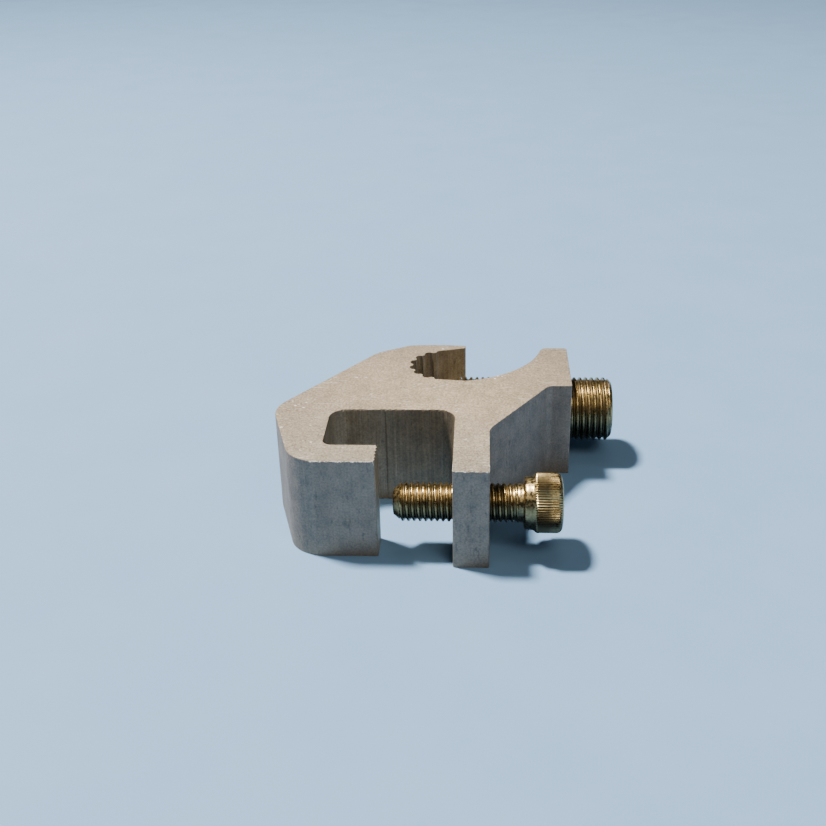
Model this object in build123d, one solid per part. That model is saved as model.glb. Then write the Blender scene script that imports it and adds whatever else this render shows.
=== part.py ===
"""Super clamp: a sawn length of aluminium extrusion with two jaws, each closed by a socket screw.

Datum used while drawing: X along both screws, Y from the hooked slot to the toothed pocket, Z along
the extrusion. The ear's front left corner is at 0, 0. The finished pieces are then moved so that the
origin is the centre of the assembly's base.
"""
import math
import os

from build123d import *

# Extrusion
BODY_LENGTH = 33.5          # sawn length, along Z
CORNER_RADIUS = 0.5         # small round that the die leaves on outer corners

# Hooked slot, its lip and its ear
EAR_THICKNESS = 11.0
LIP_END_X = -23.0
LIP_FRONT_Y = 5.3
LIP_BACK_Y = 15.6
SLOT_LEFT_X = -40.0
SLOT_BACK_Y = 39.2
SLOT_BACK_RADIUS = 5.5
SLOT_LIP_RADIUS = 2.8

# Outer wall of the hook, from the lip round to the pocket's lip
HOOK_FRONT_X = -48.6
HOOK_SIDE = (-59.0, 40.0)
HOOK_SHOULDER = (-28.7, 84.1)
HOOK_TOP = (-17.0, 90.7)
HOOK_CROWN = (-6.5, 91.1)
HOOK_FRONT_RADIUS = 11.0
HOOK_SIDE_RADIUS = 12.5
HOOK_SHOULDER_RADIUS = 12.0
HOOK_TOP_RADIUS = 10.0
HOOK_CROWN_RADIUS = 60.0

# Toothed pocket
POCKET_X = -4.7
POCKET_ROOT_RADIUS = 12.0
POCKET_TIP_RADIUS = 10.7
TOOTH_COUNT = 7
TOOTH_PITCH = 23.4          # degrees
TOOTH_LAND = 3.0            # half the tooth's flat tip, in degrees
POCKET_LIP_X = 2.6
POCKET_LIP_BACK_Y = 90.3
POCKET_LIP_FRONT_Y = 88.4
POCKET_TOP = (-7.1, 85.7)
POCKET_BOTTOM = (-7.4, 62.4)

# Arm and its gusset
ARM_RIGHT_X = 38.5
ARM_FRONT_Y = 57.4
ARM_BACK_Y = 88.4
ARM_INNER_X = 30.4
ARM_RADIUS = 1.0
GUSSET_START = (3.0, 61.1)
GUSSET_END = (29.0, 86.6)
GUSSET_RADIUS = 33.0
FLANK_TOP_X = 30.8
FLANK_BOTTOM_Y = 26.6
FLANK_TOP_RADIUS = 3.0
FLANK_BOTTOM_RADIUS = 8.0

# Screws: both axes lie at half the extrusion's length
RUNNING_FIT = 0.05          # radial room between a screw and its hole
HOOK_SCREW_Y = 10.5
PIPE_SCREW_Y = 74.0

# M12 x 40 socket head cap screw, short of its nominal sizes by less than the standard allows
HOOK_SCREW_RADIUS = 6.0
HOOK_SCREW_LENGTH = 39.6
HOOK_SCREW_TIP_X = -18.2
HOOK_TIP_RADIUS = 3.9
HOOK_TIP_LENGTH = 2.6
HEAD_RADIUS = 9.1
HEAD_HEIGHT = 11.6
HEAD_COLLAR_RADIUS = 8.0
HEAD_COLLAR_LENGTH = 3.2
HEAD_EDGE = 1.6
HEAD_SOCKET_FLATS = 10.0
HEAD_SOCKET_DEPTH = 6.0

# M22 x 2 socket set screw, 55 long
PIPE_SCREW_RADIUS = 11.0
PIPE_SCREW_LENGTH = 55.0
PIPE_SCREW_TIP_X = -1.6
PIPE_SCREW_CHAMFER = 1.6
PIPE_SOCKET_FLATS = 12.0
PIPE_SOCKET_DEPTH = 13.0


def pocket_point(radius, degrees):
    """Point at a radius and angle about the pocket's axis."""
    angle = math.radians(degrees)
    return (POCKET_X + radius * math.cos(angle), PIPE_SCREW_Y + radius * math.sin(angle))


def tooth_curves():
    """Curves of the pocket's wall: flat tooth tips with a round groove between neighbours."""
    first = 180 - TOOTH_PITCH * (TOOTH_COUNT - 1) / 2
    curves = []
    for index in range(TOOTH_COUNT):
        tip = first + index * TOOTH_PITCH
        land_start = pocket_point(POCKET_TIP_RADIUS, tip - TOOTH_LAND)
        land_end = pocket_point(POCKET_TIP_RADIUS, tip + TOOTH_LAND)
        curves.append(Line(land_start, land_end))
        if index < TOOTH_COUNT - 1:
            root = pocket_point(POCKET_ROOT_RADIUS, tip + TOOTH_PITCH / 2)
            next_land = pocket_point(POCKET_TIP_RADIUS, tip + TOOTH_PITCH - TOOTH_LAND)
            curves.append(ThreePointArc(land_end, root, next_land))
    return curves


def hook_curve():
    """Outer wall of the hook and the inside of the slot, from the pocket's lip to the ear's corner."""
    corners = [
        ((POCKET_LIP_X, POCKET_LIP_BACK_Y), None),
        (HOOK_CROWN, HOOK_CROWN_RADIUS),
        (HOOK_TOP, HOOK_TOP_RADIUS),
        (HOOK_SHOULDER, HOOK_SHOULDER_RADIUS),
        (HOOK_SIDE, HOOK_SIDE_RADIUS),
        ((HOOK_FRONT_X, LIP_FRONT_Y), HOOK_FRONT_RADIUS),
        ((LIP_END_X, LIP_FRONT_Y), CORNER_RADIUS),
        ((LIP_END_X, LIP_BACK_Y), CORNER_RADIUS),
        ((SLOT_LEFT_X, LIP_BACK_Y), SLOT_LIP_RADIUS),
        ((SLOT_LEFT_X, SLOT_BACK_Y), SLOT_BACK_RADIUS),
        ((0, SLOT_BACK_Y), SLOT_BACK_RADIUS),
        ((0, 0), CORNER_RADIUS),
        ((EAR_THICKNESS / 2, 0), None),
    ]
    return FilletPolyline(*[point for point, _ in corners], radius=[radius for _, radius in corners[1:-1]])


def arm_curve():
    """Ear front, flank and arm, from the middle of the ear's front to the end of the gusset."""
    corners = [
        ((EAR_THICKNESS / 2, 0), None),
        ((EAR_THICKNESS, 0), CORNER_RADIUS),
        ((EAR_THICKNESS, FLANK_BOTTOM_Y), FLANK_BOTTOM_RADIUS),
        ((FLANK_TOP_X, ARM_FRONT_Y), FLANK_TOP_RADIUS),
        ((ARM_RIGHT_X, ARM_FRONT_Y), CORNER_RADIUS),
        ((ARM_RIGHT_X, ARM_BACK_Y), ARM_RADIUS),
        ((ARM_INNER_X, ARM_BACK_Y), ARM_RADIUS),
        (GUSSET_END, None),
    ]
    return FilletPolyline(*[point for point, _ in corners], radius=[radius for _, radius in corners[1:-1]])


def clamp_profile():
    """Closed outline of the extrusion."""
    teeth = tooth_curves()
    curves = [
        hook_curve(),
        arm_curve(),
        RadiusArc(GUSSET_END, GUSSET_START, GUSSET_RADIUS),
        Line(GUSSET_START, POCKET_BOTTOM),
        Line(POCKET_BOTTOM, teeth[-1] @ 1),
        *teeth,
        Line(teeth[0] @ 0, POCKET_TOP),
        Line(POCKET_TOP, (POCKET_LIP_X, POCKET_LIP_FRONT_Y)),
        Line((POCKET_LIP_X, POCKET_LIP_FRONT_Y), (POCKET_LIP_X, POCKET_LIP_BACK_Y)),
    ]
    return make_face(Curve() + curves)


def screw_frame(tip_x, axis_y):
    """Local frame of a screw: its own Z runs from the tip towards the driven end, along row X."""
    return Plane(origin=(tip_x, axis_y, BODY_LENGTH / 2), x_dir=(0, 1, 0), z_dir=(1, 0, 0))


def screw_hole(start_x, end_x, axis_y, screw_radius):
    """Cylinder that clears one screw between two stations along X."""
    length = end_x - start_x
    hole = Cylinder(screw_radius + RUNNING_FIT, length, align=(Align.CENTER, Align.CENTER, Align.MIN))
    return screw_frame(start_x, axis_y) * hole


def hex_socket(end_z, flats, depth):
    """Hexagonal recess that opens at the driven end, with the drill's cone at its bottom."""
    inner_radius = flats / 2
    recess = extrude(RegularPolygon(inner_radius, 6, major_radius=False), depth)
    drill_point = Cone(0, inner_radius, inner_radius / 2, align=(Align.CENTER, Align.CENTER, Align.MAX))
    return Pos(0, 0, end_z - depth) * (recess + drill_point)


def turned(outline):
    """Solid of revolution about Z from half-section points, radius first."""
    return revolve(Plane.XZ * make_face(Polyline(*outline, close=True)), Axis.Z)


def make_clamp_body():
    """The extrusion with its two screw holes."""
    blank = extrude(clamp_profile(), BODY_LENGTH)
    hook_hole = screw_hole(-1, EAR_THICKNESS + 1, HOOK_SCREW_Y, HOOK_SCREW_RADIUS)
    pipe_hole = screw_hole(GUSSET_START[0], ARM_RIGHT_X + 1, PIPE_SCREW_Y, PIPE_SCREW_RADIUS)
    return blank - hook_hole - pipe_hole


def make_hook_screw():
    """Socket head cap screw: coned tip, thread, plain collar, head with a chamfered rim."""
    head_start = HOOK_SCREW_LENGTH
    head_end = head_start + HEAD_HEIGHT
    blank = turned([
        (0, 0),
        (HOOK_TIP_RADIUS, 0),
        (HOOK_SCREW_RADIUS, HOOK_TIP_LENGTH),
        (HOOK_SCREW_RADIUS, head_start),
        (HEAD_COLLAR_RADIUS, head_start),
        (HEAD_COLLAR_RADIUS, head_start + HEAD_COLLAR_LENGTH),
        (HEAD_RADIUS, head_start + HEAD_COLLAR_LENGTH),
        (HEAD_RADIUS, head_end - HEAD_EDGE),
        (HEAD_RADIUS - HEAD_EDGE, head_end),
        (0, head_end),
    ])
    socket = hex_socket(head_end, HEAD_SOCKET_FLATS, HEAD_SOCKET_DEPTH)
    return screw_frame(HOOK_SCREW_TIP_X, HOOK_SCREW_Y) * (blank - socket)


def make_pipe_screw():
    """Headless socket set screw with a chamfer at each end."""
    rim = PIPE_SCREW_RADIUS - PIPE_SCREW_CHAMFER
    blank = turned([
        (0, 0),
        (rim, 0),
        (PIPE_SCREW_RADIUS, PIPE_SCREW_CHAMFER),
        (PIPE_SCREW_RADIUS, PIPE_SCREW_LENGTH - PIPE_SCREW_CHAMFER),
        (rim, PIPE_SCREW_LENGTH),
        (0, PIPE_SCREW_LENGTH),
    ])
    socket = hex_socket(PIPE_SCREW_LENGTH, PIPE_SOCKET_FLATS, PIPE_SOCKET_DEPTH)
    return screw_frame(PIPE_SCREW_TIP_X, PIPE_SCREW_Y) * (blank - socket)


pieces = {
    "clamp_body": make_clamp_body(),
    "hook_screw": make_hook_screw(),
    "pipe_screw": make_pipe_screw(),
}

box = Compound(children=list(pieces.values())).bounding_box()
centre = box.center()

os.makedirs("parts", exist_ok=True)
for name, piece in pieces.items():
    piece.parent = None
    export_step(Pos(-centre.X, -centre.Y, -box.min.Z) * piece, f"parts/{name}.step")
print(f"moved by {-centre.X:.3f}, {-centre.Y:.3f}, size {box.size}")
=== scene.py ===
"""Looks of a super clamp: a sawn aluminium extrusion, a cap screw and a set screw in yellow zinc.

Sizes are in metres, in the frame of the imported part: X along both screws, Z along the extrusion.
"""
import math

import bmesh
import bpy
import numpy as np
from mathutils import Matrix, Vector


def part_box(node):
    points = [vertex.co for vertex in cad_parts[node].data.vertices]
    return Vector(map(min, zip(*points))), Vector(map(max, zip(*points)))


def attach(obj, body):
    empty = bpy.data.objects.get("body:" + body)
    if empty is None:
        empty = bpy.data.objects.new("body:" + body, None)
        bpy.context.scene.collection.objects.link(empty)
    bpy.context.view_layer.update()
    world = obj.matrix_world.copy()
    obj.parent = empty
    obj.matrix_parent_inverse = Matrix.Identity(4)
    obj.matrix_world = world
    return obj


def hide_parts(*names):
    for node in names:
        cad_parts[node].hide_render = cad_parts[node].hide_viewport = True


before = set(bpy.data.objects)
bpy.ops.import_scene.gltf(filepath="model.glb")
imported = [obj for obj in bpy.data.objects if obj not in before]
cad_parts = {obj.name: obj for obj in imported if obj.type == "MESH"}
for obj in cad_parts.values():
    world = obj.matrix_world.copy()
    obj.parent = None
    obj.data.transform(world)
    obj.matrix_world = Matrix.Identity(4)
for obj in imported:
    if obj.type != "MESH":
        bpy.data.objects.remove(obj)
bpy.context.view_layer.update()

MM = 0.001
WELD = 0.001 * MM

# Extrusion
OUTLINE_SPACING = 0.2 * MM
SMOOTH_TURN = math.radians(12)      # larger turns between chords are real corners
STRAIGHT_RATIO = 3                  # a chord this much longer than the next one is a straight
DIE_LINE_DEPTH = 0.025 * MM
SCORE_DEPTH = 0.32 * MM
SCORE_REACH = 3.4 * MM
SCORED_PLACES = ((30.6 * MM, 10.2 * MM), (-19.5 * MM, -6.3 * MM), (-40.5 * MM, -39.9 * MM))
SAW_EDGE = 0.10 * MM                # how far the saw breaks an edge back
TORN_FRONT = 0.13 * MM              # how far the saw tears an edge in, at the front
TORN_SLOT = 0.3 * MM                # the same along the slot's back
TORN_ELSEWHERE = 0.06 * MM
TORN_LENGTH = 0.5 * MM              # from one torn place to the next
TORN_STEEPNESS = 3.0                # how far a torn edge runs down its wall, for each step in
NOTCH_PITCH = 1.9 * MM              # torn notches in the lip's end
NOTCH_DEPTH = 1.0 * MM
NEAR = 0.3 * MM                     # a wall this close to a place is still that wall
EDGE_SEED = 5
DIE_SEED = 11
LIP_END_X = -20.8 * MM
LIP_BACK_Y = -29.9 * MM
LIP_FRONT_Y = -40.2 * MM
SLOT_BACK_Y = -6.3 * MM
SLOT_LEFT_X = -37.9 * MM
SLOT_RIGHT_X = 2.3 * MM
EAR_LEFT_X = 2.204 * MM
EAR_RIGHT_X = 13.204 * MM
EAR_FRONT_Y = -45.5 * MM
POCKET_BACK_X = -16.0 * MM
POCKET_LIP_X = 4.85 * MM
POCKET_TOP_Y = 43.0 * MM
POCKET_BOTTOM_Y = 18.0 * MM

# Finishes of the body, as places in its list of materials
DRAWN, SAWN, TAPPED, BROWN_INSIDE, BURR = range(5)

# Threads
THREAD_CLEARANCE = 0.08 * MM
MOUTH_CHAMFER = 0.4 * MM
ROOT_DEPTH = 0.44                   # in pitches
# Share of the pitch along the thread, and depth there in pitches: a blunt crest, then sloping flanks
THREAD_PROFILE = (
    (0.00, 0.0),
    (0.09, 0.003),
    (0.135, 0.025),
    (0.175, 0.08),
    (0.255, 0.22),
    (0.335, 0.35),
    (0.385, 0.41),
    (0.44, 0.435),
    (0.50, ROOT_DEPTH),
    (0.56, 0.435),
    (0.615, 0.41),
    (0.665, 0.35),
    (0.745, 0.22),
    (0.825, 0.08),
    (0.865, 0.025),
    (0.91, 0.003),
)

# Cap screw that closes the hooked slot
HOOK_PITCH = 1.75 * MM
HOOK_RADIUS = 6.0 * MM
HOOK_SHANK_RADIUS = 5.86 * MM
HOOK_THREAD_END = 38.2 * MM
HOOK_RUN_OUT = 0.3                  # depth that the thread gains for each length back from its end
HOOK_HEAD_START = 39.6 * MM
HOOK_END = 51.2 * MM
HOOK_TIP_RADIUS = 3.9 * MM
HOOK_TIP_LENGTH = 2.6 * MM
HOOK_TIP_ROUND = 0.12 * MM
HOOK_COLUMNS = 108
KNURL_RIDGES = 72
KNURL_COLUMNS = 432
KNURL_DEPTH = 0.32 * MM
KNURL_START = 43.3 * MM
KNURL_END = 49.4 * MM
HEAD_RADIUS = 9.1 * MM
HEAD_SEAT_RADIUS = 7.45 * MM
# Station from the head's start and radius, both in mm, and share of the knurl's depth
HEAD_SECTIONS = (
    (0.15, 7.70, 0),
    (0.40, 7.88, 0),
    (0.80, 8.02, 0),
    (1.30, 8.10, 0),
    (2.40, 8.20, 0),
    (2.80, 8.32, 0),
    (3.10, 8.52, 0),
    (3.40, 8.78, 0.3),
    (3.70, 9.00, 0.8),
    (4.00, 9.10, 1),
    (7.00, 9.10, 1),
    (9.80, 9.10, 1),
    (10.20, 9.04, 1),
    (10.60, 8.88, 0.8),
    (10.95, 8.62, 0.3),
    (11.25, 8.28, 0),
    (11.45, 7.92, 0),
    (11.57, 7.55, 0),
    (11.60, 7.20, 0),
)
HOOK_SOCKET_FLATS = 10.0 * MM
HOOK_SOCKET_DEPTH = 6.0 * MM

# Set screw that closes the toothed pocket
PIPE_PITCH = 2.0 * MM
PIPE_RADIUS = 11.0 * MM
PIPE_END = 55.0 * MM
PIPE_CHAMFER = 1.6 * MM
PIPE_EDGE_ROUND = 0.15 * MM
PIPE_COLUMNS = 120
PIPE_SOCKET_FLATS = 12.0 * MM
PIPE_SOCKET_DEPTH = 13.0 * MM
PIPE_TAP_START = 3 * MM             # from the set screw's tip, inside the pocket

# Turns sharper than these keep a crisp edge
BODY_EDGE = math.radians(28)
SCREW_EDGE = math.radians(32)


def screw_place(node):
    """Tip of a screw's axis, from its CAD box."""
    low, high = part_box(node)
    return Vector((low.x, (low.y + high.y) / 2, (low.z + high.z) / 2))


# ---------------------------------------------------------------- turned pieces


class Shell:
    """Points and faces of one closed piece turned about its axis, which becomes row X."""

    def __init__(self):
        self.points = []
        self.faces = []

    def point(self, station, angle, radius):
        self.points.append((station, radius * math.cos(angle), radius * math.sin(angle)))
        return len(self.points) - 1

    def ring(self, station, radii, columns):
        """One square ring; radii is one number or one for each column."""
        radii = np.broadcast_to(radii, columns)
        return [self.point(station, math.tau * c / columns, radii[c]) for c in range(columns)]

    def face(self, corners):
        """A face without repeated corners; nothing if it has collapsed."""
        kept = [c for i, c in enumerate(corners) if c not in corners[:i]]
        if len(kept) > 2:
            self.faces.append(kept)

    def band(self, first, second):
        """Faces between two rings, the second as many points or a whole number of times more."""
        step = len(second) // len(first)
        for c in range(len(first)):
            following = (c + 1) % len(first)
            outer = [second[(c * step + i) % len(second)] for i in range(step, -1, -1)]
            self.face([first[c], first[following], *outer])

    def turned(self, ring, sections):
        """Bands through (station, radii) sections, from a ring; returns the last ring."""
        for station, radii in sections:
            following = self.ring(station, radii, len(ring))
            self.band(ring, following)
            ring = following
        return ring

    def start_cap(self, ring, station):
        centre = self.point(station, 0, 0)
        for c in range(len(ring)):
            self.face([ring[(c + 1) % len(ring)], ring[c], centre])

    def end_cap(self, ring, station):
        centre = self.point(station, 0, 0)
        for c in range(len(ring)):
            self.face([ring[c], ring[(c + 1) % len(ring)], centre])

    def thread(self, start, end, columns, pitch, radius_at):
        """Rows that climb one pitch a turn, held between two square ends; returns both end rings."""
        angles = math.tau * np.arange(columns) / columns
        first = self.ring(start, radius_at(start, angles), columns)
        last = self.ring(end, radius_at(end, angles), columns)
        per_turn = len(THREAD_PROFILE)
        turns = range(math.floor(start / pitch) - 2, math.ceil(end / pitch) + 1)
        rows = [pitch * (turn + share) for turn in turns for share, _ in THREAD_PROFILE]
        grid = []
        for row in rows:
            stations = row + pitch * np.arange(columns) / columns
            radii = radius_at(stations, angles)
            line = []
            for c, station in enumerate(stations):
                if station <= start + WELD:
                    line.append(first[c])
                elif station >= end - WELD:
                    line.append(last[c])
                else:
                    line.append(self.point(station, angles[c], radii[c]))
            grid.append(line)
        for r in range(len(rows) - per_turn - 1):
            for c in range(columns - 1):
                self.face([grid[r][c], grid[r][c + 1], grid[r + 1][c + 1], grid[r + 1][c]])
            seam = r + per_turn
            self.face([grid[r][-1], grid[seam][0], grid[seam + 1][0], grid[r + 1][-1]])
        return first, last

    def build(self, name, origin):
        """The object, with its first station at the origin given."""
        mesh = bpy.data.meshes.new(name)
        mesh.from_pydata([Vector(p) + origin for p in self.points], [], self.faces)
        mesh.update()
        made = bpy.data.objects.new(name, mesh)
        bpy.context.scene.collection.objects.link(made)
        return made


def thread_radius(radius, pitch, stations, angles):
    """Radius of a right-hand thread at stations along its axis and angles about it."""
    shares, depths = zip(*THREAD_PROFILE)
    share = np.mod(stations / pitch - angles / math.tau, 1.0)
    return radius - pitch * np.interp(share, [*shares, 1.0], [*depths, depths[0]])


def hexagon(flats, columns):
    """Radii of a hexagon, one for each column."""
    angles = math.tau * np.arange(columns) / columns
    return flats / 2 / np.cos(np.mod(angles, math.pi / 3) - math.pi / 6)


def hex_socket(shell, ring, end, flats, depth):
    """Recess with a coned mouth, hexagonal walls and the drill's cone at its bottom."""
    columns = len(ring)
    hexagonal = hexagon(flats, columns)
    mouth = hexagonal.max() + 0.25 * MM
    steps = (0.0, 0.15, 0.3, 0.5, 0.75, 1.05)
    sections = [(end - step * MM, np.maximum(hexagonal, mouth - step * MM)) for step in steps]
    sections.append((end - depth, hexagonal))
    sections.append((end - depth, 0.96 * flats / 2))
    bottom = shell.turned(ring, sections)
    shell.end_cap(bottom, end - depth - flats / 4)


def knurled(radius, share):
    """Radii of the knurled rim: straight ridges with narrow flat tops."""
    phase = np.arange(KNURL_COLUMNS) * KNURL_RIDGES / KNURL_COLUMNS
    groove = 1 - np.abs(2 * np.mod(phase, 1.0) - 1)
    return radius - share * KNURL_DEPTH * np.clip(1.25 * groove - 0.1, 0, 1)


def hook_envelope(stations):
    """Radius of the cap screw's tip and thread before the groove is cut."""
    cone = HOOK_TIP_RADIUS + (HOOK_RADIUS - HOOK_TIP_RADIUS) * stations / HOOK_TIP_LENGTH
    return np.minimum(cone, HOOK_RADIUS)


def knurl_envelope(stations):
    """Outside the knurl's crests, so that the grooves' grime and painted shade dull them too."""
    return HEAD_RADIUS + 0.7 * KNURL_DEPTH


def pipe_envelope(stations):
    """Radius of the set screw before the groove is cut: a chamfer at each end."""
    from_end = np.minimum(stations, PIPE_END - stations)
    return np.minimum(PIPE_RADIUS - PIPE_CHAMFER + from_end, PIPE_RADIUS)


def hook_screw():
    """Socket head cap screw with a coned tip and a knurled head."""

    def radius_at(stations, angles):
        thread = thread_radius(HOOK_RADIUS, HOOK_PITCH, stations, angles)
        run_out = HOOK_SHANK_RADIUS - (HOOK_THREAD_END - stations) * HOOK_RUN_OUT
        return np.minimum(np.maximum(thread, run_out), hook_envelope(stations))

    shell = Shell()
    first, last = shell.thread(HOOK_TIP_ROUND, HOOK_THREAD_END, HOOK_COLUMNS, HOOK_PITCH, radius_at)
    tip = shell.ring(0.03 * MM, HOOK_TIP_RADIUS - 0.05 * MM, HOOK_COLUMNS)
    shell.band(tip, first)
    face = shell.ring(0, HOOK_TIP_RADIUS - 0.2 * MM, HOOK_COLUMNS)
    shell.band(face, tip)
    shell.start_cap(face, 0)
    neck = shell.turned(last, [
        (HOOK_THREAD_END + 0.3 * MM, HOOK_SHANK_RADIUS),
        (HOOK_HEAD_START - 0.7 * MM, HOOK_SHANK_RADIUS),
        (HOOK_HEAD_START - 0.3 * MM, HOOK_SHANK_RADIUS + 0.1 * MM),
        (HOOK_HEAD_START, HOOK_SHANK_RADIUS + 0.5 * MM),
    ])
    seat = shell.ring(HOOK_HEAD_START, HEAD_SEAT_RADIUS, KNURL_COLUMNS)
    shell.band(neck, seat)
    rim = shell.turned(seat, [
        (HOOK_HEAD_START + station * MM, knurled(radius * MM, share))
        for station, radius, share in HEAD_SECTIONS
    ])
    hex_socket(shell, rim, HOOK_END, HOOK_SOCKET_FLATS, HOOK_SOCKET_DEPTH)
    return shell.build("hook_screw_threaded", screw_place("hook_screw"))


def pipe_screw():
    """Headless socket set screw, threaded over its whole length."""

    def radius_at(stations, angles):
        return np.minimum(thread_radius(PIPE_RADIUS, PIPE_PITCH, stations, angles), pipe_envelope(stations))

    shell = Shell()
    rim_radius = PIPE_RADIUS - PIPE_CHAMFER
    first, last = shell.thread(
        PIPE_EDGE_ROUND, PIPE_END - PIPE_EDGE_ROUND, PIPE_COLUMNS, PIPE_PITCH, radius_at)
    face = shell.ring(0, rim_radius - PIPE_EDGE_ROUND, PIPE_COLUMNS)
    shell.band(face, first)
    shell.start_cap(face, 0)
    rim = shell.turned(last, [(PIPE_END, rim_radius - PIPE_EDGE_ROUND)])
    hex_socket(shell, rim, PIPE_END, PIPE_SOCKET_FLATS, PIPE_SOCKET_DEPTH)
    return shell.build("pipe_screw_threaded", screw_place("pipe_screw"))


def mark_grooves(piece, node, parts):
    """Stores how deep in a groove each point lies, from 0 on the crest to 1 at the root.

    Each part is its first and last station, its radius over the crests there, and the grooves' depth.
    """
    tip = screw_place(node)
    depths = np.zeros(len(piece.data.vertices))
    for index, vertex in enumerate(piece.data.vertices):
        station, across, up = vertex.co - tip
        for start, end, crest_at, depth in parts:
            if start < station < end:
                depths[index] = np.clip((crest_at(station) - math.hypot(across, up)) / depth, 0, 1)
    piece.data.attributes.new("groove", "FLOAT", "POINT").data.foreach_set("value", depths)


def tap(node, start, end, columns, pitch, radius, mouths):
    """Cutter for a tapped hole, in step with its screw; mouths are stations of countersinks."""

    def radius_at(stations, angles):
        cut = thread_radius(radius + THREAD_CLEARANCE, pitch, stations, angles)
        for mouth in mouths:
            cut = np.maximum(cut, radius + MOUTH_CHAMFER - np.abs(stations - mouth))
        return cut

    shell = Shell()
    first, last = shell.thread(start, end, columns, pitch, radius_at)
    shell.start_cap(first, start)
    shell.end_cap(last, end)
    made = shell.build(node + "_tap", screw_place(node))
    for polygon in made.data.polygons:
        polygon.material_index = TAPPED
    return made


# ---------------------------------------------------------------- extrusion


def cad_outline(node):
    """Outline of the node's sawn top face, counter-clockwise, starting at its leftmost point."""
    mesh = bmesh.new()
    mesh.from_mesh(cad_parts[node].data)
    bmesh.ops.remove_doubles(mesh, verts=mesh.verts, dist=WELD)
    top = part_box(node)[1].z
    cap = [face for face in mesh.faces if face.calc_center_median().z > top - WELD]
    members = set(cap)
    following = {}
    for face in cap:
        for loop in face.loops:
            if sum(other in members for other in loop.edge.link_faces) == 1:
                following[loop.vert] = loop.link_loop_next.vert
    start = min(following, key=lambda vert: tuple(vert.co))
    ring = [start]
    while following[ring[-1]] is not start:
        ring.append(following[ring[-1]])
    points = np.array([vert.co.xy for vert in ring], float)
    mesh.free()
    return points


def tangents(points):
    """Unit direction of each chord, and the outline's direction as it leaves and meets each point."""
    chord = np.roll(points, -1, axis=0) - points
    length = np.linalg.norm(chord, axis=1)
    unit = chord / length[:, None]
    before, before_length = np.roll(unit, 1, axis=0), np.roll(length, 1)
    shared = unit + before
    shared[length > STRAIGHT_RATIO * before_length] = unit[length > STRAIGHT_RATIO * before_length]
    straight_before = before_length > STRAIGHT_RATIO * length
    shared[straight_before] = before[straight_before]
    shared /= np.linalg.norm(shared, axis=1)[:, None]
    corner = np.sum(unit * before, axis=1) < math.cos(SMOOTH_TURN)
    leaving, meeting = shared.copy(), shared.copy()
    leaving[corner] = unit[corner]
    meeting[corner] = before[corner]
    return length, leaving, meeting


def refined(points):
    """The outline with closer points, which follow its rounds instead of their chords."""
    length, leaving, meeting = tangents(points)
    close = []
    for i, start in enumerate(points):
        j = (i + 1) % len(points)
        steps = math.ceil(length[i] / OUTLINE_SPACING)
        for t in np.arange(steps) / steps:
            close.append(
                (1 + 2 * t) * (1 - t) ** 2 * start
                + t * (1 - t) ** 2 * length[i] * leaving[i]
                + t * t * (3 - 2 * t) * points[j]
                + t * t * (t - 1) * length[i] * meeting[j]
            )
    return np.array(close)


def ripple(along, wavelength, seed):
    """Smooth random values between 0 and 1 round a closed outline."""
    knots = max(4, round(along[-1] / wavelength))
    values = np.random.default_rng(seed).random(knots)
    return np.interp(along / along[-1] * knots, np.arange(knots + 1), [*values, values[0]])


def die_lines(along):
    """Depth of the lines that the die drags along the walls."""
    fine = ripple(along, 0.7 * MM, DIE_SEED)
    broad = ripple(along, 4 * MM, DIE_SEED + 1)
    rare = np.clip(ripple(along, 0.9 * MM, DIE_SEED + 2) - 0.8, 0, 0.2) * 5
    return DIE_LINE_DEPTH * (0.5 * fine + 0.5 * broad + 1.5 * rare)


def scores(points, along):
    """Depth of the deeper lines that a worn die scores at a few places round the outline."""
    lines = np.clip(ripple(along, 0.7 * MM, DIE_SEED + 3) - 0.55, 0, 0.45) / 0.45
    nearness = np.zeros(len(points))
    for scored in SCORED_PLACES:
        distance = np.linalg.norm(points - scored, axis=1)
        nearness = np.maximum(nearness, 1 - distance / SCORE_REACH)
    return SCORE_DEPTH * lines * nearness


def torn_edge(points, along):
    """How far the saw has torn each point's edge: in notches at the lip's end, less in the slot."""
    x, y = points.T
    lip_end = (np.abs(x - LIP_END_X) < 2 * NEAR) & (y < LIP_BACK_Y)
    slot_back = (np.abs(y - SLOT_BACK_Y) < 0.5 * MM) & (x < 0)
    size = np.full(len(points), TORN_ELSEWHERE)
    size[y < LIP_FRONT_Y + NEAR] = TORN_FRONT
    size[slot_back] = TORN_SLOT
    torn = size * ripple(along, TORN_LENGTH, EDGE_SEED) ** 1.5
    sawtooth = np.abs(2 * np.mod(along / NOTCH_PITCH, 1) - 1)
    notches = sawtooth * (0.35 + 0.65 * ripple(along, NOTCH_PITCH, EDGE_SEED))
    torn[lip_end] = NOTCH_DEPTH * notches[lip_end]
    return torn


def wall_finish(x, y):
    """Finish of the wall at a place: the insides of the slot, its mouth and the pocket take the brown
    finish.
    """
    in_slot = SLOT_LEFT_X - MM < x < SLOT_RIGHT_X and LIP_BACK_Y - MM < y < SLOT_BACK_Y + MM
    in_mouth = LIP_END_X - NEAR < x < EAR_LEFT_X + NEAR and EAR_FRONT_Y + MM < y < LIP_BACK_Y
    in_pocket = POCKET_BACK_X < x < POCKET_LIP_X and POCKET_BOTTOM_Y < y < POCKET_TOP_Y
    return BROWN_INSIDE if in_slot or in_mouth or in_pocket else DRAWN


def edge_finish(x, y):
    """Finish of a sawn edge: burr with painted glints along the front edges, wall elsewhere."""
    return BURR if y < LIP_FRONT_Y + NEAR else wall_finish(x, y)


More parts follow.
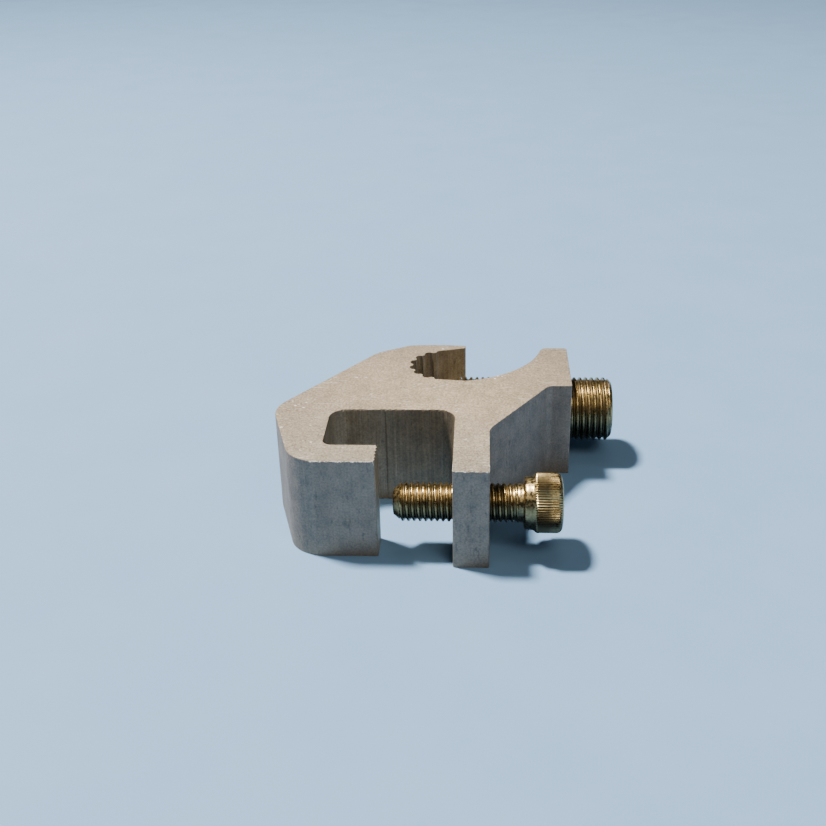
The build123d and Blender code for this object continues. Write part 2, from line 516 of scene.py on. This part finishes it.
def extrusion(node):
    """Sawn length of the extrusion: drawn walls with die lines between two torn sawn edges."""
    low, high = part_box(node)
    points = refined(cad_outline(node))
    ahead, behind = np.roll(points, -1, axis=0), np.roll(points, 1, axis=0)
    direction = ahead - behind
    direction /= np.linalg.norm(direction, axis=1)[:, None]
    inward = np.stack([-direction[:, 1], direction[:, 0]], axis=1)
    along = np.concatenate([[0], np.cumsum(np.linalg.norm(np.diff(points, axis=0), axis=1))])
    walls = points + inward * (die_lines(along) + scores(points, along))[:, None]
    torn = torn_edge(points, along)
    edge = SAW_EDGE * (0.4 + 0.6 * ripple(along, TORN_LENGTH, EDGE_SEED + 1))

    level = np.zeros(len(points))
    levels = [(low.z + level, edge), (low.z + edge, level)]
    levels += [(low.z + (high.z - low.z) * share + level, level) for share in (0.25, 0.5, 0.75)]
    levels += [(high.z - edge - TORN_STEEPNESS * torn, level), (high.z + level, edge + torn)]

    mesh = bmesh.new()
    rings = []
    for heights, inset in levels:
        flat = walls + inward * inset[:, None]
        rings.append([mesh.verts.new((*xy, z)) for xy, z in zip(flat, heights)])
    for lower, upper in zip(rings, rings[1:]):
        for i in range(len(points)):
            j = (i + 1) % len(points)
            wall = mesh.faces.new((lower[i], lower[j], upper[j], upper[i]))
            finish = edge_finish if upper is rings[-1] else wall_finish
            wall.material_index = finish(*points[i])
    for cap in (rings[-1], rings[0][::-1]):
        mesh.faces.new(cap).material_index = SAWN
    data = bpy.data.meshes.new("clamp_body_sawn")
    mesh.to_mesh(data)
    mesh.free()
    made = bpy.data.objects.new("clamp_body_sawn", data)
    bpy.context.scene.collection.objects.link(made)
    return made


def cut(piece, cutters):
    """Takes the cutters' volumes out of a piece."""
    for cutter in cutters:
        modifier = piece.modifiers.new(cutter.name, "BOOLEAN")
        modifier.operation = "DIFFERENCE"
        modifier.solver = "MANIFOLD"
        modifier.object = cutter
    bpy.context.view_layer.update()
    evaluated = piece.evaluated_get(bpy.context.evaluated_depsgraph_get())
    data = bpy.data.meshes.new_from_object(evaluated)
    piece.modifiers.clear()
    piece.data = data
    for cutter in cutters:
        bpy.data.objects.remove(cutter)


def clamp_body():
    """The extrusion with both tapped holes, each kind of face in its own finish."""
    hook_tip = screw_place("hook_screw").x
    ear_left, ear_right = EAR_LEFT_X - hook_tip, EAR_RIGHT_X - hook_tip
    arm_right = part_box("clamp_body")[1].x - screw_place("pipe_screw").x
    body = extrusion("clamp_body")
    taps = [
        tap("hook_screw", ear_left - MM, ear_right + MM, HOOK_COLUMNS, HOOK_PITCH, HOOK_RADIUS,
            (ear_left, ear_right)),
        tap("pipe_screw", PIPE_TAP_START, arm_right + MM, PIPE_COLUMNS, PIPE_PITCH, PIPE_RADIUS,
            (arm_right,)),
    ]
    finishes = (drawn_aluminium(), sawn_aluminium(), tapped_aluminium(), brown_inside_aluminium(), torn_burr())
    for piece in (body, *taps):
        for finish in finishes:
            piece.data.materials.append(finish)
    cut(body, taps)
    shade(body, BODY_EDGE)
    for polygon in body.data.polygons:
        if polygon.material_index in (SAWN, BURR):
            polygon.use_smooth = False
    return body


# ---------------------------------------------------------------- materials


def new_material(name, **constants):
    """A material with plain settings on its shader; returns it, its node tree and the shader."""
    made = bpy.data.materials.new(name)
    made.use_nodes = True
    shader = made.node_tree.nodes["Principled BSDF"]
    for socket, value in constants.items():
        shader.inputs[socket.replace("_", " ")].default_value = value
    return made, made.node_tree, shader


def add_node(tree, kind, settings=None, **sockets):
    """A node with plain settings, and sockets given as values or as other nodes' outputs."""
    made = tree.nodes.new("ShaderNode" + kind)
    for name, value in (settings or {}).items():
        setattr(made, name, value)
    for name, value in sockets.items():
        socket = made.inputs[name.replace("_", " ")]
        if isinstance(value, bpy.types.NodeSocket):
            tree.links.new(value, socket)
        else:
            socket.default_value = value
    return made


def place(tree, scale=(1, 1, 1), turn=0):
    """Object coordinates, stretched and turned about Z."""
    source = add_node(tree, "TexCoord")
    mapping = add_node(tree, "Mapping", Vector=source.outputs["Object"], Scale=scale)
    mapping.inputs["Rotation"].default_value = (0, 0, turn)
    return mapping.outputs["Vector"]


def noise(tree, where, size, detail=4, roughness=0.6):
    """Noise whose lumps are about that size."""
    made = add_node(tree, "TexNoise", Vector=where, Scale=1 / size, Detail=detail, Roughness=roughness)
    return made.outputs["Fac"]


def ramp(tree, factor, *stops):
    """Colour ramp through (position, colour) stops; a colour may be one grey number."""
    made = add_node(tree, "ValToRGB", Fac=factor)
    elements = made.color_ramp.elements
    while len(elements) < len(stops):
        elements.new(0.5)
    for element, (position, colour) in zip(elements, stops):
        element.position = position
        grey = isinstance(colour, (int, float))
        element.color = (colour, colour, colour, 1) if grey else (*colour, 1)
    return made.outputs["Color"]


def mixed(tree, factor, first, second, blend="MIX"):
    """Mix of two colours; each may be a value or another node's output."""
    made = tree.nodes.new("ShaderNodeMix")
    made.data_type = "RGBA"
    made.blend_type = blend
    for socket, value in ((made.inputs[0], factor), (made.inputs[6], first), (made.inputs[7], second)):
        if isinstance(value, bpy.types.NodeSocket):
            tree.links.new(value, socket)
        elif isinstance(value, tuple):
            socket.default_value = (*value, 1)
        else:
            socket.default_value = value
    return made.outputs[2]


def bump(tree, height, strength, distance, under=None):
    """Normal of a small relief, which may lie on another one."""
    made = add_node(tree, "Bump", Height=height, Strength=strength, Distance=distance)
    if under is not None:
        tree.links.new(under, made.inputs["Normal"])
    return made.outputs["Normal"]


def spread(tree, axis, start, end):
    """0 at one coordinate along an axis, rising to 1 at another."""
    source = add_node(tree, "TexCoord")
    split = add_node(tree, "SeparateXYZ", Vector=source.outputs["Object"])
    mapped = add_node(tree, "MapRange", Value=split.outputs[axis], From_Min=start, From_Max=end)
    return mapped.outputs["Result"]


def scaled(tree, value, factor):
    """A node's output times a number."""
    made = add_node(tree, "Math", {"operation": "MULTIPLY"})
    tree.links.new(value, made.inputs[0])
    made.inputs[1].default_value = factor
    return made.outputs["Value"]


def sawn_aluminium():
    """Matt grainy face that the saw leaves, with clusters of bright flecks that are painted glints, and a
    few skid marks.
    """
    made, tree, shader = new_material("sawn_aluminium", Metallic=0.5, Roughness=0.5)
    where = place(tree)
    cloud = noise(tree, where, 6 * MM, 6, 0.65)
    mottle = ramp(tree, cloud, (0.32, (0.385, 0.33, 0.25)), (0.68, (0.575, 0.49, 0.38)))
    warmth = ramp(tree, spread(tree, "Y", -42 * MM, 0), (0.0, (1.0, 1.0, 1.0)), (1.0, (1.0, 0.945, 0.86)))
    warmer = mixed(tree, 1.0, mottle, warmth, "MULTIPLY")
    reach = add_node(tree, "VectorMath", {"operation": "LENGTH"}, Vector=where).outputs["Value"]
    outer = ramp(tree, scaled(tree, reach, 1 / (60 * MM)), (0.45, 0.0), (1.0, 0.6))
    handled = mixed(tree, outer, warmer, (0.25, 0.215, 0.175))
    grain = noise(tree, where, 0.7 * MM, 5, 0.75)
    grained = mixed(tree, 0.75, handled, ramp(tree, grain, (0.28, 0.1), (0.72, 0.9)), "OVERLAY")
    # Painted glints: a few short cells, in clusters, are coloured nearly white.
    cells = add_node(tree, "TexVoronoi", Vector=place(tree, (0.5, 1, 1)), Scale=1 / (0.42 * MM))
    lottery = add_node(tree, "SeparateColor", Color=cells.outputs["Color"]).outputs["Red"]
    clusters = ramp(tree, noise(tree, where, 7 * MM, 3), (0.52, 0.0), (0.64, 1.0))
    painted_glint_flecks = mixed(tree, 1.0, ramp(tree, lottery, (0.97, 0.0), (0.985, 1.0)), clusters, "MULTIPLY")
    skid_lines = noise(tree, place(tree, (0.04, 1, 1), math.radians(52)), 0.5 * MM, 2)
    skid_patch = ramp(tree, noise(tree, where, 9 * MM, 2), (0.55, 0.0), (0.66, 1.0))
    skids = mixed(tree, 1.0, ramp(tree, skid_lines, (0.58, 0.0), (0.72, 0.7)), skid_patch, "MULTIPLY")
    # The painted glints and the skid marks lighten the colour together.
    bright = mixed(tree, 1.0, painted_glint_flecks, skids, "LIGHTEN")
    colour = mixed(tree, bright, grained, (1.0, 0.96, 0.88))
    tree.links.new(colour, shader.inputs["Base Color"])
    tree.links.new(ramp(tree, grain, (0.3, 0.42), (0.7, 0.62)), shader.inputs["Roughness"])
    surface = bump(tree, grain, 0.7, 0.12 * MM, bump(tree, skid_lines, 0.15, 0.05 * MM))
    tree.links.new(surface, shader.inputs["Normal"])
    return made


def wall_material(name, colour_of, line_share):
    """Wall that the die has left: mottled, with lines along the extrusion and brown near its foot."""
    made, tree, shader = new_material(name, Metallic=0.4, Roughness=0.6)
    where = place(tree)
    cloud = noise(tree, where, 5 * MM, 6, 0.7)
    lines = noise(tree, place(tree, (1, 1, 0.02)), 0.7 * MM, 5, 0.65)
    streaks = ramp(tree, lines, (0.3, 0.3), (0.7, 0.7))
    lined = mixed(tree, line_share, colour_of(tree, cloud), streaks, "OVERLAY")
    scuffs = ramp(tree, noise(tree, place(tree, (1, 1, 0.35)), 1.6 * MM, 4), (0.60, 0.0), (0.74, 0.8))
    scuffed = mixed(tree, scuffs, lined, (0.10, 0.092, 0.08))
    low = ramp(tree, spread(tree, "Z", 0, 7 * MM), (0.0, 0.7), (1.0, 0.0))
    patches = ramp(tree, noise(tree, where, 4 * MM, 4), (0.35, 0.0), (0.6, 1.0))
    foot = mixed(tree, 1.0, low, patches, "MULTIPLY")
    browned = mixed(tree, foot, scuffed, (0.30, 0.235, 0.165))
    fine = noise(tree, where, 0.6 * MM, 4)
    grained = mixed(tree, 0.5, browned, ramp(tree, fine, (0.3, 0.25), (0.7, 0.75)), "OVERLAY")
    tree.links.new(grained, shader.inputs["Base Color"])
    sheen = ramp(tree, noise(tree, where, 2.5 * MM, 4), (0.3, 0.52), (0.7, 0.72))
    tree.links.new(sheen, shader.inputs["Roughness"])
    surface = bump(tree, lines, line_share, 0.05 * MM, bump(tree, fine, 0.4, 0.05 * MM))
    tree.links.new(surface, shader.inputs["Normal"])
    return made


def drawn_colour(tree, cloud):
    """Bare grey metal."""
    return ramp(tree, cloud, (0.34, (0.19, 0.155, 0.13)), (0.66, (0.31, 0.25, 0.20)))


def brown_inside_colour(tree, cloud):
    """Brown in the pocket and at the slot's closed end, greyer towards the slot's mouth; the lighter brown
    at the closed end is painted light.
    """
    brown = ramp(tree, cloud, (0.34, (0.285, 0.245, 0.185)), (0.66, (0.405, 0.355, 0.275)))
    grey = ramp(tree, cloud, (0.34, (0.16, 0.13, 0.09)), (0.66, (0.24, 0.195, 0.135)))
    in_pocket = spread(tree, "Y", 9 * MM, 12 * MM)
    # Painted light and shade: the slot's deep closed end is coloured a lighter brown, and the colour turns
    # darker grey towards its mouth.
    painted_light_closed_end = ramp(tree, spread(tree, "X", -32 * MM, -12 * MM), (0.0, 1.0), (1.0, 0.0))
    return mixed(tree, mixed(tree, 1.0, in_pocket, painted_light_closed_end, "LIGHTEN"), grey, brown)


def drawn_aluminium():
    return wall_material("drawn_aluminium", drawn_colour, 0.2)


def brown_inside_aluminium():
    return wall_material("brown_inside_aluminium", brown_inside_colour, 0.6)


def torn_burr():
    """Bright metal where the saw tore the edge; its near-white patches are painted glints."""
    made, tree, shader = new_material("torn_burr", Metallic=0.2, Roughness=0.35)
    patches = noise(tree, place(tree), 0.8 * MM, 2)
    # Painted glints: patches of the torn edge are coloured near white.
    glint = ramp(tree, patches, (0.44, (0.42, 0.35, 0.25)), (0.52, (1.0, 0.97, 0.90)))
    tree.links.new(glint, shader.inputs["Base Color"])
    return made


def tapped_aluminium():
    """Machined thread in the aluminium: brighter, with fine turning marks across X."""
    made, tree, shader = new_material("tapped_aluminium", Metallic=0.9, Roughness=0.35)
    marks = noise(tree, place(tree, (1, 0.1, 0.1)), 0.15 * MM, 3)
    colour = ramp(tree, marks, (0.3, (0.36, 0.35, 0.33)), (0.7, (0.55, 0.53, 0.50)))
    tree.links.new(colour, shader.inputs["Base Color"])
    tree.links.new(bump(tree, marks, 0.3, 0.02 * MM), shader.inputs["Normal"])
    return made


def yellow_zinc():
    """Yellow chromate over zinc: gold on top, darker and greyer underneath from painted shade and a painted
    blue reflection, dull and dark in the grooves.
    """
    made, tree, shader = new_material("yellow_zinc", Metallic=1.0, Roughness=0.25)
    where = place(tree)
    drift = noise(tree, where, 4 * MM, 4)
    green, gold = (0.22, 0.18, 0.105), (0.38, 0.285, 0.13)
    yellow, rose = (0.46, 0.345, 0.16), (0.30, 0.20, 0.13)
    colour = ramp(tree, drift, (0.30, green), (0.45, gold), (0.60, yellow), (0.75, rose))
    fine = noise(tree, where, 0.6 * MM, 4)
    tinted = mixed(tree, 0.5, colour, ramp(tree, fine, (0.3, 0.25), (0.7, 0.75)), "OVERLAY")
    groove = add_node(tree, "Attribute", {"attribute_name": "groove"}).outputs["Fac"]
    # Grime and painted shade: deeper in a groove the colour turns dark, partly dirt and partly shade
    # painted into the roots, and the surface turns rougher.
    grime_and_painted_shade = ramp(tree, groove, (0.5, 0.0), (1.0, 0.65))
    # Painted shade: below the screws' middles the colour is darkened and tinted blue, standing in for shade
    # and the blue floor reflected underneath; it is not wear.
    height = spread(tree, "Z", 15 * MM, 20.5 * MM)
    painted_underside_shade = ramp(tree, height, (0.0, (0.19, 0.24, 0.33)), (1.0, (1.0, 1.0, 1.0)))
    # The zinc's tint, darkened underneath by the painted shade.
    worn = mixed(tree, 1.0, tinted, painted_underside_shade, "MULTIPLY")
    tree.links.new(mixed(tree, grime_and_painted_shade, worn, (0.035, 0.03, 0.02)), shader.inputs["Base Color"])
    sheen = ramp(tree, noise(tree, where, 0.9 * MM, 3), (0.36, 0.16), (0.62, 0.42))
    tree.links.new(mixed(tree, grime_and_painted_shade, sheen, (0.5, 0.5, 0.5)), shader.inputs["Roughness"])
    tree.links.new(bump(tree, fine, 0.4, 0.04 * MM), shader.inputs["Normal"])
    return made


def pale_floor():
    made, tree, shader = new_material("pale_floor", Roughness=0.85)
    cloud = noise(tree, place(tree), 40 * MM, 4)
    colour = ramp(tree, cloud, (0.3, (0.185, 0.345, 0.565)), (0.7, (0.205, 0.365, 0.595)))
    tree.links.new(colour, shader.inputs["Base Color"])
    return made


# ---------------------------------------------------------------- finishing


def shade(piece, angle):
    """Smooth shading that breaks at edges sharper than an angle."""
    for polygon in piece.data.polygons:
        polygon.use_smooth = True
    piece.data.set_sharp_from_angle(angle=angle)


def dress_screw(piece, finish):
    piece.data.materials.append(finish)
    shade(piece, SCREW_EDGE)


def lamp(name, origin, target, size, power, colour):
    data = bpy.data.lights.new(name, "AREA")
    data.size = size
    data.energy = power
    data.color = colour
    made = bpy.data.objects.new(name, data)
    made.location = origin
    made.rotation_euler = (Vector(target) - Vector(origin)).to_track_quat("-Z", "Y").to_euler()
    bpy.context.scene.collection.objects.link(made)


def studio():
    """Key from overhead, a little left and behind; weak warm lamps round it; a blue-grey room."""
    middle = (0, 0, 0.015)
    lamp("key", (-0.80, 0.31, 2.0), middle, 0.24, 136, (1.0, 0.94, 0.86))
    lamp("fill", (0.34, -0.60, 0.85), middle, 0.45, 3.0, (1.0, 0.90, 0.76))
    lamp("top", (0.08, -0.02, 1.1), middle, 0.30, 0.6, (1.0, 0.92, 0.80))
    lamp("side", (-0.8, 0.35, 0.3), middle, 0.35, 0.7, (1.0, 0.62, 0.32))
    world = bpy.data.worlds.new("room")
    bpy.context.scene.world = world
    world.use_nodes = True
    background = world.node_tree.nodes["Background"]
    background.inputs["Color"].default_value = (0.75, 0.87, 1.0, 1)
    background.inputs["Strength"].default_value = 0.07


def floor():
    """Plain square floor under the clamp."""
    mesh = bpy.data.meshes.new("floor")
    reach = 4.0
    corners = [(-reach, -reach, 0), (reach, -reach, 0), (reach, reach, 0), (-reach, reach, 0)]
    mesh.from_pydata(corners, [], [(0, 1, 2, 3)])
    made = bpy.data.objects.new("floor", mesh)
    mesh.materials.append(pale_floor())
    bpy.context.scene.collection.objects.link(made)


def camera():
    """Seen from the front, a little right of centre, about 27 degrees above the table."""
    data = bpy.data.cameras.new("camera")
    data.sensor_width = 36
    data.lens = 49.26
    data.clip_start = 0.01
    made = bpy.data.objects.new("camera", data)
    down, turn, roll = math.radians(27.092), math.radians(3.894), math.radians(-1.411)
    # The camera's own Z is opposite to where it looks.
    made.matrix_world = (
        Matrix.Translation((0.010587, -0.328882, 0.197748))
        @ Matrix.Rotation(turn, 4, "Z")
        @ Matrix.Rotation(math.pi / 2 - down, 4, "X")
        @ Matrix.Rotation(roll, 4, "Z")
    )
    bpy.context.scene.collection.objects.link(made)
    bpy.context.scene.camera = made


body = clamp_body()
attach(body, "clamp")
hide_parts("clamp_body")

# Grooved parts of each screw: first and last station, radius over the crests, depth of the grooves
screws = (
    ("hook_screw", hook_screw(), (
        (0, HOOK_THREAD_END, hook_envelope, ROOT_DEPTH * HOOK_PITCH),
        (KNURL_START, KNURL_END, knurl_envelope, KNURL_DEPTH),
    )),
    ("pipe_screw", pipe_screw(), (
        (0, PIPE_END, pipe_envelope, ROOT_DEPTH * PIPE_PITCH),
    )),
)
zinc = yellow_zinc()
for node, piece, grooved in screws:
    mark_grooves(piece, node, grooved)
    dress_screw(piece, zinc)
    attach(piece, node)
    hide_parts(node)

floor()
studio()
camera()
